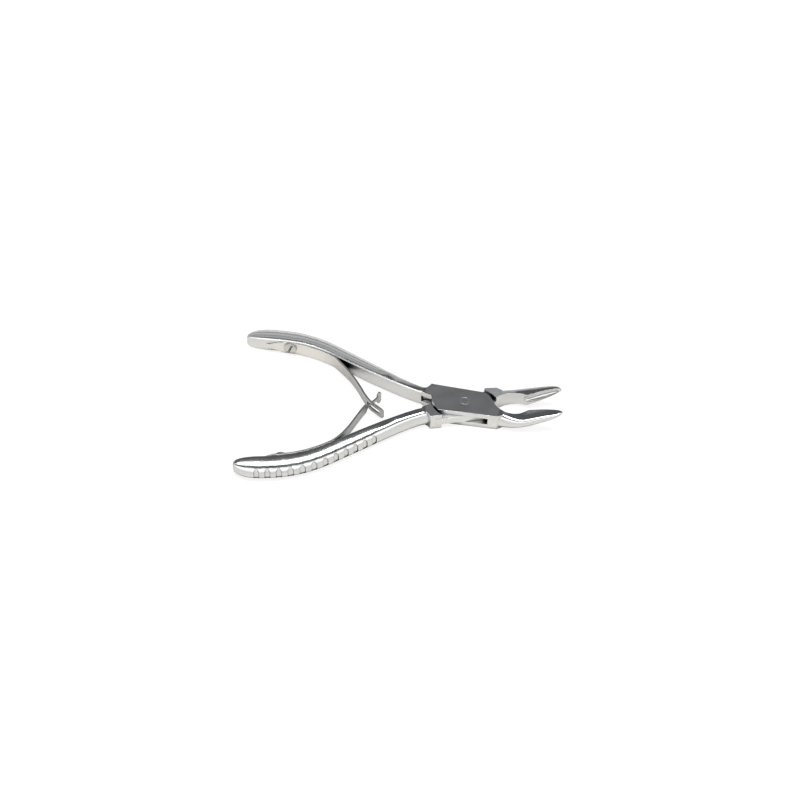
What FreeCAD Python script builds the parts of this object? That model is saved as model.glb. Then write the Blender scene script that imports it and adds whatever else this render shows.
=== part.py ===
import FreeCAD, Part
import math
import os
from FreeCAD import Vector

# Bone rongeur: two arms crossing in a box joint, cupped jaws and a double leaf spring.
# Millimetres and degrees.  Each arm is drawn in its own closed frame: the pin's axis is Z
# through the origin, the jaw points to +X and lies below the centre line, the handle lies
# to the left above it.  The through arm is drawn the same way and mirrored.  At rest the
# arms stand apart by opening_angle, half of it each.

# The whole instrument
opening_angle = 17.6
box_thickness = 8.2
sliding_gap = 0.06
mirror_side = Vector(0, 1, 0)

# The box and the blocks that stop beside it
shoulder_x = -15.9
shoulder_half_width = 7.4
jaw_block_x = 15.4
jaw_block_half_width = 6.53
jaw_run_out = 2.2
jaw_neck_half_width = 4.9
handle_run_out = 3.1
handle_neck_half_width = 4.4
run_out_shape = [(0.25, 0.5), (0.55, 0.85), (1.0, 1.0)]
crotch = (-14.8, 0.3)
cheek_corner_x = -10.6
cheek_bow = [(1.4, -3.5), (2.7, -5.8)]
shoulder_gap = 0.45
box_facet_length = 1.9
through_facet_length = 8.7
facet_drop = 0.45

# The slot through the box and the tongue inside it
slot_height = 3.5
slot_front_x = 11.3
slot_back_x = -9.85
slot_corner = (14.7, -1.0)
slot_mouth_length = 3.5
slot_mouth_depth = 1.5
slot_mouth_start = 0.4
slot_mouth_shape = [(0.25, 0.8), (0.7, 1.0)]
slot_mouth_turn = (0.6, 1.8)
tongue_end_gap = 0.45
tongue_front_x = 9.3
tongue_corner = (14.3, -0.1)
tongue_in_handle = (0.4, 1.8)
tongue_in_handle_width = 0.6
tongue_in_block = 2.5
tongue_in_jaw = 1.6

# The jaw block of the through arm beside the box's cheek
jaw_shoulder_x = 9.9
jaw_shoulder_inner = (14.45, -0.35)
jaw_shoulder_end = (14.9, 0.4)

# The pin, pressed into the box and free to turn in the tongue
pin_radius = 2.0
pin_press_gap = 0.01
pin_running_gap = 0.05

# The handles: points of the flat inner face, with widths and heights
handle_start_x = -15.8
handle_inner_points = [(-15.5, 0.9), (-21.0, 1.85), (-29.0, 4.2), (-46.0, 10.45),
                       (-56.0, 14.6), (-64.0, 18.0), (-72.0, 20.4), (-80.0, 21.4),
                       (-87.0, 21.3), (-93.0, 20.8)]
handle_width_near_box = 4.95
handle_width_middle = 7.15
handle_width_bulb = 8.6
handle_middle_x = -56.0
handle_bulb_x = -86.0
handle_height_near_box = 8.0
handle_height_bulb = 7.3
handle_foot_z = 0.05
handle_edge_bevel = 0.5
handle_bulge_share = 0.5
handle_cap_start_x = -92.0
handle_cap_length = 10.8
handle_cap_centre_share = 0.3
handle_cap_height_power = 0.4
handle_cap_angles = (30, 45, 58, 70, 81)
handle_plain_sections = 5

# The finger grooves across the rounded backs of the handles
groove_count = 12
groove_first_x = -92.6
groove_pitch = 4.44
groove_width = 2.3
groove_length = 5.4
groove_depth = 0.45
groove_end_depth = 0.3
groove_corner = 0.7
clear_of_back = 0.5

# The jaws: x, outer half width, underside and top
jaw_stations = [(13.0, 6.2, 0.05, 8.05), (17.0, 6.5, 0.1, 7.8), (20.5, 6.65, 0.45, 7.55),
                (24.0, 6.5, 1.05, 7.55), (27.5, 6.0, 1.85, 8.25), (31.0, 5.2, 2.95, 9.25),
                (34.5, 4.4, 4.4, 10.15), (38.0, 3.5, 6.15, 10.8), (40.6, 2.6, 7.65, 11.05),
                (42.2, 1.5, 8.7, 10.85), (42.95, 0.45, 9.3, 10.3)]
jaw_section_count = 16
jaw_bulge = 3.0
jaw_bulge_limit_share = 0.62
jaw_edge_bevel = 0.15
jaw_seat_gap = 0.08
quarter_circle_handle = 0.5523
throat_points = [(7.6, 6.75), (10.7, 4.5), (12.8, 1.5), (14.4, -0.6), (17.5, -2.3),
                 (21.0, -2.8), (24.2, -2.3), (26.7, -1.1), (28.4, -jaw_seat_gap)]
cup_centre_x = 33.6
cup_centre_z = 7.2
cup_half_length = 8.4
cup_half_height = 2.25
cup_depth = 2.0
cup_tilt = 17.0

# The two leaf springs: a foot screwed to each handle and a leaf that crosses the middle
spring_middle_z = 3.9
foot_thickness = 0.9
foot_seat_gap = 0.05
foot_width = 6.5
foot_tail_x = -93.4
foot_tail_length = 8.0
foot_tail_width = 1.4
foot_tail_point = 1.0
foot_hole_gap = 0.15
leaf_thickness = 0.7
leaf_root_gap = 0.25
leaf_stand_off = 0.15
leaf_taper_length = 12.0
crossing_distance = 41.3
tip_corner = 0.7

# A leaf's bow: share of the way to the crossing and how far it bends to its handle,
# then length past the crossing and how far it bends there
slotted_root_x = -60.5
slotted_leaf_width = 5.2
slotted_bow = [(0.2, 0.75), (0.4, 1.1), (0.7, 0.6)]
slotted_tip = [(4.0, 0.8), (8.3, 2.0)]
window_width = 2.1
window_before = 1.6
window_end_wall = 1.7
tee_root_x = -59.0
tee_leaf_width = 5.0
tee_bow = [(0.2, 0.8), (0.4, 0.7), (0.7, 0.0)]
tee_tip = [(3.4, 0.6), (7.0, 1.1)]
tee_neck_width = 1.4
tee_neck_before = 1.9
tee_shoulder_length = 1.2
tee_head_start = 4.6
tee_head_width = 6.2

# The spring screws
screw_x = -82.4
screw_rise = 0.4
screw_head_radius = 2.95
screw_head_height = 1.4
screw_head_dome = 0.6
screw_head_dome_width = 1.0
screw_head_gap = 0.06
screw_shank_radius = 1.25
screw_shank_depth = 4.4
screw_hole_gap = 0.05
screw_hole_end_gap = 0.4
screw_slot_width = 0.7
screw_slot_depth = 0.8
screw_slot_turn = 68.0

half_opening = opening_angle / 2
middle_z = box_thickness / 2
handle_block_x = shoulder_x - handle_run_out
jaw_block_end_x = jaw_block_x + jaw_run_out
clear_of_all = 20.0


def side_line(x):
    """Half width of the box at x: the sides taper evenly from shoulder to jaw."""
    share = (x - shoulder_x) / (jaw_block_x - shoulder_x)
    return shoulder_half_width + share * (jaw_block_half_width - shoulder_half_width)


def curve_through(points):
    curve = Part.BSplineCurve()
    curve.interpolate([Vector(x, y, 0) for x, y in points])
    return curve


def spline_edge(points):
    return curve_through(points).toShape()


def line_edges(points):
    ends = [Vector(x, y, 0) for x, y in points]
    return [Part.makeLine(a, b) for a, b in zip(ends, ends[1:])]


def prism(edges, low, high):
    """A solid between two levels on a closed plan outline."""
    face = Part.Face(Part.Wire(Part.__sortEdges__(edges)))
    solid = face.extrude(Vector(0, 0, high - low))
    solid.translate(Vector(0, 0, low))
    return solid


def side_prism(points):
    """A solid across the whole width on an outline given as x and z."""
    corners = [Vector(x, -2 * clear_of_all, z) for x, z in points]
    face = Part.Face(Part.makePolygon(corners + corners[:1]))
    return face.extrude(Vector(0, 4 * clear_of_all, 0))


def curve_at(curve, x):
    """Point, unit tangent towards falling x and the normal to its left side, at x."""
    rising = curve.value(curve.LastParameter).x > curve.value(curve.FirstParameter).x
    low, high = curve.FirstParameter, curve.LastParameter
    for _ in range(60):
        middle = (low + high) / 2
        if (curve.value(middle).x > x) == rising:
            high = middle
        else:
            low = middle
    tangent = Vector(*curve.tangent(low)[0])
    tangent.normalize()
    if rising:
        tangent = tangent * -1
    return curve.value(low), tangent, Vector(tangent.y, -tangent.x, 0)


def smooth_change(x, x_0, value_0, x_1, value_1):
    """A smooth change from one value to the next between two places."""
    share = min(max((x - x_0) / (x_1 - x_0), 0.0), 1.0)
    return value_0 + (value_1 - value_0) * share * share * (3 - 2 * share)


def handle_width(x):
    if x > handle_middle_x:
        return smooth_change(x, handle_block_x, handle_width_near_box, handle_middle_x, handle_width_middle)
    return smooth_change(x, handle_middle_x, handle_width_middle, handle_bulb_x, handle_width_bulb)


def handle_height(x):
    return smooth_change(x, handle_block_x, handle_height_near_box, handle_bulb_x, handle_height_bulb)


def round_back_section(corner, outward, width, height, bulge, bevel):
    """A section with a flat inner face, bevelled edges, a flat top and a half round back."""
    up = Vector(0, 0, 1)

    def at(out, z):
        return corner + outward * out + up * z
    flat = width - bulge
    corners = [at(flat, 0), at(bevel, 0), at(0, bevel), at(0, height - bevel), at(bevel, height),
               at(flat, height)]
    handle = quarter_circle_handle
    low, high = height / 2 * (1 - handle), height / 2 * (1 + handle)
    poles = [at(flat, height), at(flat + handle * bulge, height), at(width, high),
             at(width, low), at(flat + handle * bulge, 0), at(flat, 0)]
    back = Part.BSplineCurve()
    back.buildFromPolesMultsKnots(poles, [4, 2, 4], [0, 1, 2], False, 3)
    edges = [Part.makeLine(a, b) for a, b in zip(corners, corners[1:])] + [back.toShape()]
    return Part.Wire(Part.__sortEdges__(edges))


def handle_frame(x):
    """The handle's inner corner on the underside, its tangent and outward normal at x."""
    curve = curve_through(handle_inner_points)
    point, tangent, outward = curve_at(curve, max(x, handle_cap_start_x))
    if x < handle_cap_start_x:
        point = point + tangent * (handle_cap_start_x - x)
    return point + Vector(0, 0, handle_foot_z), tangent, outward


def handle_section(x):
    """A section of the handle; past the start of the round end it closes in."""
    point, tangent, outward = handle_frame(x)
    past = max(handle_cap_start_x - x, 0) / handle_cap_length
    scale = math.sqrt(1 - past * past)
    full_width, full_height = handle_width(x), handle_height(x)
    width = full_width * scale
    height = full_height * scale ** handle_cap_height_power
    corner = point + outward * (handle_cap_centre_share * (full_width - width))
    corner = corner + Vector(0, 0, (full_height - height) / 2)
    return round_back_section(corner, outward, width, height, handle_bulge_share * width,
                              handle_edge_bevel * scale)


def groove_centres():
    return [groove_first_x + number * groove_pitch for number in range(groove_count)]


def groove_sides(x):
    """The two places along the handle where a groove's side walls stand."""
    half = groove_width / 2 * abs(handle_frame(x)[1].x)
    return x - half, x + half


def handle_solid():
    """The handle: sections at the grooves' walls, then a round end that closes in."""
    last_x = groove_sides(groove_centres()[-1])[1]
    step = (last_x - handle_start_x) / handle_plain_sections
    places = [handle_start_x + number * step for number in range(handle_plain_sections)]
    for x in reversed(groove_centres()):
        places += reversed(groove_sides(x))
    places += [handle_cap_start_x - handle_cap_length * math.sin(math.radians(angle))
               for angle in handle_cap_angles]
    return Part.makeLoft([handle_section(x) for x in places], True, True)


def groove_profile(x):
    """What one side wall of a groove takes from the back, with a floor as round as the back."""
    point, tangent, outward = handle_frame(x)
    width, height = handle_width(x), handle_height(x)
    back = handle_bulge_share * width
    half = groove_length / 2
    end_drop = back * (1 - math.sqrt(1 - (2 * half / height) ** 2))

    def at(out, z):
        return point + outward * out + Vector(0, 0, height / 2 + z)
    low = at(width - end_drop - groove_end_depth, -half)
    high = at(width - end_drop - groove_end_depth, half)
    floor = Part.Arc(low, at(width - groove_depth, 0), high).toShape()
    outside = [high, at(width + clear_of_back, half), at(width + clear_of_back, -half), low]
    lines = [Part.makeLine(a, b) for a, b in zip(outside, outside[1:])]
    return Part.Wire(Part.__sortEdges__([floor] + lines))


def groove(x):
    """One cut across the back, with its corners taken off."""
    block = Part.makeLoft([groove_profile(side) for side in groove_sides(x)], True, True)
    point, tangent, outward = handle_frame(x)
    half, length = groove_width / 2 + clear_of_back, groove_length / 2
    corner = groove_corner + clear_of_back
    middle = point + Vector(0, 0, handle_height(x) / 2)
    corners = [(-half, length - corner), (corner - half, length), (half - corner, length),
               (half, length - corner), (half, corner - length), (half - corner, -length),
               (corner - half, -length), (-half, corner - length)]
    places = [middle + tangent * along + Vector(0, 0, z) for along, z in corners]
    outline = Part.Face(Part.makePolygon(places + places[:1]))
    return block.common(outline.extrude(outward * (handle_width(x) + clear_of_all)))


def grooved_handle():
    return handle_solid().cut([groove(x) for x in groove_centres()])


def jaw_solid():
    """The jaw before its throat and cup: a round back, cut flat where the jaws meet."""
    outer_line = curve_through([(x, outer) for x, outer, low, high in jaw_stations])
    low_line = curve_through([(x, low) for x, outer, low, high in jaw_stations])
    high_line = curve_through([(x, high) for x, outer, low, high in jaw_stations])
    start_x, end_x = jaw_stations[0][0], jaw_stations[-1][0]
    wires = []
    for number in range(jaw_section_count + 1):
        share = math.sin(math.pi / 2 * number / jaw_section_count)
        x = start_x + (end_x - start_x) * share
        outer = curve_at(outer_line, x)[0].y + jaw_seat_gap
        low = curve_at(low_line, x)[0].y
        height = curve_at(high_line, x)[0].y - low
        bulge = min(jaw_bulge, jaw_bulge_limit_share * outer)
        bevel = min(jaw_edge_bevel, (outer - bulge) / 2, height / 4)
        wires.append(round_back_section(Vector(x, 0, low), Vector(0, -1, 0), outer, height, bulge, bevel))
    solid = Part.makeLoft(wires, True, True)
    beyond = Part.makeBox(2 * clear_of_all, clear_of_all, clear_of_all,
                          Vector(start_x - 1, -jaw_seat_gap, -1))
    return solid.cut(beyond)


def throat_cutter():
    """Everything above the edge that runs from the cheek's corner round the throat."""
    right, top = throat_points[-1][0], clear_of_all
    left = throat_points[0][0]
    edges = [spline_edge(throat_points)]
    edges += line_edges([throat_points[-1], (right, top), (left, top), throat_points[0]])
    return prism(edges, -1, 2 * box_thickness)


def cup_cutter():
    """A long half egg, sunk in the face where the jaws meet, along the raised jaw."""
    ball = Part.makeSphere(1.0)
    stretch = FreeCAD.Matrix()
    stretch.scale(cup_half_length, cup_depth, cup_half_height)
    egg = ball.transformGeometry(stretch)
    egg.rotate(Vector(0, 0, 0), Vector(0, 1, 0), -cup_tilt)
    egg.translate(Vector(cup_centre_x, 0, cup_centre_z))
    return egg


def facet_cutter(length):
    """The wedge above the sloping facet where the block falls to the jaw's neck."""
    start_x = jaw_block_end_x - length
    end_x = jaw_block_end_x + 1
    return side_prism([(start_x, box_thickness), (end_x, box_thickness - facet_drop),
                       (end_x, 2 * box_thickness), (start_x, 2 * box_thickness)])


def cheek_edge():
    """Left edge of the box from the crotch to the front corner, slightly bowed."""
    bowed = [(crotch[0] + dx, crotch[1] + dy) for dx, dy in cheek_bow]
    return [crotch] + bowed + [(cheek_corner_x, -side_line(cheek_corner_x))]


def shoulder_edge():
    """The through arm's shoulder: the cheek's edge moved off by the shoulder gap."""
    edge = cheek_edge()
    slope = math.atan2(edge[0][1] - edge[-1][1], edge[-1][0] - edge[0][0])
    dx = shoulder_gap * math.sin(slope)
    dy = shoulder_gap * math.cos(slope)
    points = [(x - dx, dy - y) for x, y in edge]
    last_x = points[-1][0]
    return points[:-1] + [(last_x, side_line(last_x))]


def handle_block_outline(inner_corner):
    """Plan edges from the shoulder's corner round the neck of the handle to its inner corner."""
    inner_y = handle_frame(handle_block_x)[0].y
    top_y = side_line(shoulder_x)
    fall = top_y - handle_neck_half_width
    run_out = [(shoulder_x, top_y)]
    run_out += [(shoulder_x - handle_run_out * share, top_y - fall * drop) for share, drop in run_out_shape]
    inner = [(handle_block_x, inner_y), inner_corner]
    return [spline_edge(run_out)] + line_edges([run_out[-1]] + inner)


def box_block():
    """The box arm's middle: a flat block, as thick as the whole box."""
    edge = cheek_edge()
    corners = [edge[-1], (jaw_block_x, -jaw_block_half_width), (jaw_block_end_x, -jaw_neck_half_width),
               (jaw_block_end_x, side_line(jaw_block_end_x)), (shoulder_x, side_line(shoulder_x))]
    edges = [spline_edge(edge)] + line_edges(corners) + handle_block_outline(crotch)
    return prism(edges, 0, box_thickness).cut(facet_cutter(box_facet_length))


def slot_cutter():
    """The slot that the tongue passes, with its mouth in the handle's inner face."""
    mouth_x = handle_block_x - slot_mouth_start
    mouth_y = handle_frame(mouth_x)[0].y
    turn = (crotch[0] + slot_mouth_turn[0], crotch[1] + slot_mouth_turn[1])
    back_y = side_line(slot_back_x)
    front_y = -side_line(slot_front_x)
    rim = [(mouth_x, mouth_y)]
    rim += [(mouth_x + slot_mouth_length * share, mouth_y + slot_mouth_depth * rise)
            for share, rise in slot_mouth_shape]
    rim += [turn]
    edges = [spline_edge(rim)]
    edges += line_edges([turn, (slot_back_x, back_y), (slot_back_x, clear_of_all),
                         (jaw_block_x, clear_of_all), (jaw_block_x, slot_corner[1]), slot_corner,
                         (slot_front_x, front_y), (slot_front_x, -clear_of_all),
                         (mouth_x, -clear_of_all), rim[0]])
    return prism(edges, middle_z - slot_height / 2, middle_z + slot_height / 2)


def through_pin_hole(radius):
    return Part.makeCylinder(radius, 2 * box_thickness, Vector(0, 0, -box_thickness / 2))


def screw_place():
    """Where the screw's axis meets the handle's face, and its direction off the face."""
    point, tangent, outward = handle_frame(screw_x)
    return Vector(point.x, point.y, spring_middle_z + screw_rise), outward * -1


def screw_hole(gap, depth):
    """A round hole for the shank, from well off the handle's face down to a depth in it."""
    point, off = screw_place()
    reach = screw_head_height + foot_thickness
    return Part.makeCylinder(screw_shank_radius + gap, depth + reach, point + off * reach, off * -1)


def arm_with_cuts(solid, pin_gap):
    """The cuts that both arms share: the throat, the cup, the pin's and the screw's hole."""
    cutters = [throat_cutter(), cup_cutter(), through_pin_hole(pin_radius + pin_gap),
               screw_hole(screw_hole_gap, screw_shank_depth + screw_hole_end_gap)]
    for cutter in cutters:
        solid = solid.cut(cutter)
    return solid


def box_arm():
    solid = box_block().fuse([grooved_handle(), jaw_solid()])
    return arm_with_cuts(solid, pin_press_gap).cut(slot_cutter())


def through_handle_block():
    edge = shoulder_edge()
    corners = [edge[-1], (shoulder_x, side_line(shoulder_x))]
    edges = [spline_edge(edge)] + line_edges(corners) + handle_block_outline(edge[0])
    return prism(edges, 0, box_thickness)


def through_jaw():
    """The jaw and its block, cut back along the shoulder that faces the box's cheek."""
    corner = (jaw_shoulder_x, -side_line(jaw_shoulder_x))
    corners = [corner, (jaw_block_x, -jaw_block_half_width), (jaw_block_end_x, -jaw_neck_half_width),
               (jaw_block_end_x, jaw_shoulder_end[1]), jaw_shoulder_end, jaw_shoulder_inner, corner]
    block = prism(line_edges(corners), 0, box_thickness).cut(facet_cutter(through_facet_length))
    cheek_side = [corner, jaw_shoulder_inner, jaw_shoulder_end, (jaw_shoulder_end[0], clear_of_all),
                  (0, clear_of_all), (0, -clear_of_all), (jaw_shoulder_x, -clear_of_all), corner]
    return block.fuse(jaw_solid().cut(prism(line_edges(cheek_side), -1, 2 * box_thickness)))


def tongue():
    """The thin plate that joins the through arm's two ends inside the slot."""
    inside_handle = (shoulder_edge()[0][0] - tongue_in_handle[0], crotch[1] + tongue_in_handle[1])
    low_corner = (slot_back_x + tongue_end_gap, -side_line(slot_back_x))
    high_corner = (tongue_front_x, side_line(tongue_front_x))
    back_corner = (shoulder_edge()[-1][0] - tongue_in_block, side_line(shoulder_x))
    inside_jaw = (jaw_shoulder_end[0], jaw_shoulder_end[1] - tongue_in_jaw)
    corners = [inside_handle, (inside_handle[0] + tongue_in_handle_width, crotch[1]), low_corner,
               (jaw_shoulder_x, -side_line(jaw_shoulder_x)),
               (jaw_shoulder_x + tongue_in_block, -jaw_neck_half_width),
               inside_jaw, tongue_corner, high_corner, back_corner, inside_handle]
    half = slot_height / 2 - sliding_gap
    return prism(line_edges(corners), middle_z - half, middle_z + half)


def through_arm():
    solid = tongue().fuse([through_handle_block(), through_jaw(), grooved_handle()])
    return arm_with_cuts(solid, pin_running_gap)


def joint_pin():
    return Part.makeCylinder(pin_radius, box_thickness)


def spring_foot(root_x):
    """The strip along the handle's face, with its pointed tail and its screw hole."""
    near, far = [], []
    steps = 8
    for step in range(steps + 1):
        point, tangent, outward = handle_frame(foot_tail_x + (root_x - foot_tail_x) * step / steps)
        seat = point - outward * foot_seat_gap
        front = seat - outward * foot_thickness
        near.append((seat.x, seat.y))
        far.append((front.x, front.y))
    edges = [spline_edge(near), spline_edge(far)]
    edges += line_edges([near[0], far[0]]) + line_edges([near[-1], far[-1]])
    strip = prism(edges, 0, box_thickness)
    full_x = foot_tail_x + foot_tail_length
    beyond_x = root_x + foot_tail_length
    half, tail = foot_width / 2, foot_tail_width / 2
    side = [(foot_tail_x - foot_tail_point, tail), (foot_tail_x + foot_tail_point, tail), (full_x, half),
            (beyond_x, half)]
    outline = [(x, spring_middle_z + z) for x, z in side]
    outline += [(x, spring_middle_z - z) for x, z in reversed(side)]
    root = leaf_root(root_x)
    socket = Part.makeCylinder(leaf_thickness / 2 + leaf_root_gap, 2 * box_thickness,
                               root - Vector(0, 0, box_thickness / 2))
    return strip.common(side_prism(outline)).cut(socket).cut(screw_hole(foot_hole_gap, 0))


def leaf_root(root_x):
    """The hinge point of a leaf, just above the middle of the foot's thickness."""
    point, tangent, outward = handle_frame(root_x)
    root = point - outward * (foot_seat_gap + foot_thickness / 2 + leaf_stand_off)
    return Vector(root.x, root.y, 0)


def leaf_axes(root_x):
    """Root, direction to the crossing, direction to the leaf's own handle, and the distance."""
    root = leaf_root(root_x)
    turn = math.radians(half_opening)
    crossing = Vector(-crossing_distance * math.cos(turn), -crossing_distance * math.sin(turn), 0)
    along = crossing - root
    length = along.Length
    along.normalize()
    return root, along, Vector(-along.y, along.x, 0), length


def leaf(root_x, bow, tip, stations):
    """A bowed strip from its hinge past the crossing, with its width at each station."""
    root, along, side, length = leaf_axes(root_x)
    bends = [(0, 0)] + [(share * length, bend) for share, bend in bow] + [(length, 0)]
    bends += [(length + past, bend) for past, bend in tip]
    middle = Part.BSplineCurve()
    middle.interpolate([root + along * s + side * bend for s, bend in bends])
    near, far = [], []
    for number in range(len(bends) * 2 - 1):
        share = number / (len(bends) * 2 - 2)
        u = middle.FirstParameter + share * (middle.LastParameter - middle.FirstParameter)
        tangent = Vector(*middle.tangent(u)[0])
        across = Vector(-tangent.y, tangent.x, 0).normalize() * (leaf_thickness / 2)
        near.append(middle.value(u) + across)
        far.append(middle.value(u) - across)
    edges = [spline_edge([(p.x, p.y) for p in line]) for line in (near, far)]
    edges += [Part.makeLine(near[0], far[0]), Part.makeLine(near[-1], far[-1])]
    nose = Part.makeCylinder(leaf_thickness / 2, box_thickness, root)
    strip = prism(edges, 0, box_thickness).fuse(nose)
    outline = [(s, spring_middle_z + width / 2) for s, width in stations]
    outline += [(s, spring_middle_z - width / 2) for s, width in reversed(stations)]
    corners = [root + along * s - side * clear_of_all + Vector(0, 0, z) for s, z in outline]
    profile = Part.Face(Part.makePolygon(corners + corners[:1]))
    return strip.common(profile.extrude(side * 2 * clear_of_all))


def slotted_leaf():
    root, along, side, length = leaf_axes(slotted_root_x)
    end = length + slotted_tip[-1][0]
    stations = [(-leaf_thickness, foot_width), (0, foot_width), (leaf_taper_length, slotted_leaf_width),
                (end - tip_corner, slotted_leaf_width), (end, slotted_leaf_width - 2 * tip_corner)]
    strip = leaf(slotted_root_x, slotted_bow, slotted_tip, stations)
    start = length - window_before
    finish = end - window_end_wall
    half = window_width / 2

    def at(s, z):
        return root + along * s - side * clear_of_all + Vector(0, 0, spring_middle_z + z)
    edges = [Part.makeLine(at(start, -half), at(start, half)),
             Part.makeLine(at(start, half), at(finish - half, half)),
             Part.Arc(at(finish - half, half), at(finish, 0), at(finish - half, -half)).toShape(),
             Part.makeLine(at(finish - half, -half), at(start, -half))]
    window = Part.Face(Part.Wire(Part.__sortEdges__(edges))).extrude(side * 2 * clear_of_all)
    return strip.cut(window)


def tee_leaf():
    length = leaf_axes(tee_root_x)[3]
    neck = length - tee_neck_before
    head = length + tee_head_start
    end = length + tee_tip[-1][0]
    stations = [(-leaf_thickness, foot_width), (0, foot_width), (leaf_taper_length, tee_leaf_width),
                (neck - tee_shoulder_length, tee_leaf_width), (neck, tee_neck_width), (head, tee_neck_width),
                (head, tee_head_width - 2 * tip_corner), (head + tip_corner, tee_head_width),
                (end - tip_corner, tee_head_width), (end, tee_head_width - 2 * tip_corner)]
    return leaf(tee_root_x, tee_bow, tee_tip, stations)


def spring_screw():
    """A slotted screw with a low bevelled head, its shank sunk in the handle."""
    point, off = screw_place()
    under_head = foot_seat_gap + foot_thickness + screw_head_gap
    rim = screw_head_height - screw_head_dome
    top_radius = screw_head_radius - screw_head_dome_width
    head = Part.makeCylinder(screw_head_radius, rim)
    head = head.fuse(Part.makeCone(screw_head_radius, top_radius, screw_head_dome, Vector(0, 0, rim)))
    slot = Part.makeBox(3 * screw_head_radius, screw_slot_width, screw_head_height,
                        Vector(-1.5 * screw_head_radius, -screw_slot_width / 2,
                               screw_head_height - screw_slot_depth))
    slot.rotate(Vector(0, 0, 0), Vector(0, 0, 1), screw_slot_turn)
    head = head.cut(slot)
    seat = point + off * under_head
    head.Placement = FreeCAD.Placement(seat, FreeCAD.Rotation(Vector(0, 0, 1), off))
    shank = Part.makeCylinder(screw_shank_radius, under_head + screw_shank_depth, seat, off * -1)
    return head.fuse(shank)


def placed_on_box_arm(shape):
    shape = shape.copy()
    shape.rotate(Vector(0, 0, 0), Vector(0, 0, 1), -half_opening)
    return shape


def placed_on_through_arm(shape):
    shape = shape.mirror(Vector(0, 0, 0), mirror_side)
    shape.rotate(Vector(0, 0, 0), Vector(0, 0, 1), half_opening)
    return shape


def all_nodes():
    screw = spring_screw()
    return {
        "box_arm": placed_on_box_arm(box_arm()),
        "joint_pin": placed_on_box_arm(joint_pin()),
        "slotted_spring_foot": placed_on_box_arm(spring_foot(slotted_root_x)),
        "slotted_spring_screw": placed_on_box_arm(screw),
        "slotted_spring_leaf": placed_on_box_arm(slotted_leaf()),
        "through_arm": placed_on_through_arm(through_arm()),
        "tee_spring_foot": placed_on_through_arm(spring_foot(tee_root_x)),
        "tee_spring_screw": placed_on_through_arm(screw),
        "tee_spring_leaf": placed_on_through_arm(tee_leaf()),
    }


os.makedirs("parts", exist_ok=True)
for name, shape in all_nodes().items():
    shape.exportStep("parts/" + name + ".step")
    print(name, "solids", len(shape.Solids), "valid", shape.isValid(), "volume", round(shape.Volume, 2))
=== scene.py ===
import math

import bmesh
import bpy
from mathutils import Matrix, Vector


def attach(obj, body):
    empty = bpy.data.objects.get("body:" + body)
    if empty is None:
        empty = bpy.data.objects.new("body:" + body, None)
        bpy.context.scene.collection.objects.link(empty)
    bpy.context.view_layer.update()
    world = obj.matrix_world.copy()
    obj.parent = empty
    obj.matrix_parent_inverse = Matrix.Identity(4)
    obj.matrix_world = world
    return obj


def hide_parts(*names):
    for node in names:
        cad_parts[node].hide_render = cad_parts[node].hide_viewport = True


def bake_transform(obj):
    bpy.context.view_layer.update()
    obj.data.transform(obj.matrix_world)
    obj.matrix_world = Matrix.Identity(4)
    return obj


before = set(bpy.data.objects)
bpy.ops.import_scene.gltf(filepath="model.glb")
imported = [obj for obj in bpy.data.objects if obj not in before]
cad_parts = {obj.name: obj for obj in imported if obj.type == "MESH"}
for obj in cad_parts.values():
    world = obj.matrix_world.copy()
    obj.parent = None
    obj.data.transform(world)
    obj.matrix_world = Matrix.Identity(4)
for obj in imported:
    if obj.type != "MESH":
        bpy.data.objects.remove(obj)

bl_info = {
    "name": "Bone rongeur",
    "version": (1, 0, 0),
    "blender": (4, 5, 0),
    "location": "3D View > Sidebar > Rongeur",
    "description": "Dresses the bone rongeur and sets up its studio picture",
    "category": "Object",
}

MM = 0.001

# Middle lines of the two springs in plan, from the foot's tail to the leaf's tip, in millimetres
SLOTTED_FOOT = [(-89.15, 34.31), (-83.87, 33.96), (-78.65, 33.37), (-73.51, 32.37), (-68.46, 30.80),
                (-63.51, 28.63), (-60.0, 26.72)]
SLOTTED_ROOT = (-57.597, 25.082)
SLOTTED_LEAF = [(-54.81, 21.83), (-52.16, 18.47), (-49.70, 14.96), (-47.49, 11.30), (-45.51, 7.48),
                (-43.61, 3.61), (-41.31, 0.02), (-38.32, -3.04), (-35.10, -5.87)]
TEE_FOOT = [(-89.15, -34.31), (-83.63, -33.94), (-78.16, -33.30), (-72.79, -32.18), (-67.52, -30.44),
            (-62.34, -28.03), (-58.6, -25.85)]
TEE_ROOT = (-56.219, -24.211)
TEE_LEAF = [(-53.60, -21.24), (-51.39, -17.96), (-49.45, -14.51), (-47.65, -10.99), (-45.87, -7.45),
            (-43.99, -3.95), (-41.81, -0.65), (-39.22, 2.34), (-36.69, 5.38)]
CROSSING = (-41.3, 0.0)

# Where the slotted spring's screw sits and the way its head looks; the other screw is its mirror image
SCREW_SEAT = (-78.149, 33.803, 4.3)
SCREW_DIRECTION = (-0.153, -0.988)

# How late the screw's head falls towards its rim; 2 would be a round dome
DOME_POWER = 2.4

# Points worked out between two corners of a spring's line, turns of the points on its window's round end
# and the length over which a strip's width changes at once
POINTS_PER_CORNER = 24
WINDOW_TURNS = (0.4, 0.8, 1.1, 1.35)
SUDDEN = 0.00005

# Distances under which points count as one, and the area under which a face counts as none
SAME_POINT = 1e-7
SAME_CORNER = 2e-6
NO_AREA = 1e-12

# Edges of the springs and screws that are sharper than this stay sharp
SHARP_ANGLE = math.radians(35)

# The crown: spacing of the handle's sections, how far the outward way leans to the jaws, below which
# part of it a face looks inward, and the shares of the handle's width over which the tilt comes in
SECTION_STEP = 0.002
OUTWARD_LEAN = 0.35
FACES_INWARD = -0.1
CROWN_FROM = 0.08
CROWN_OVER = 0.42

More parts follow.
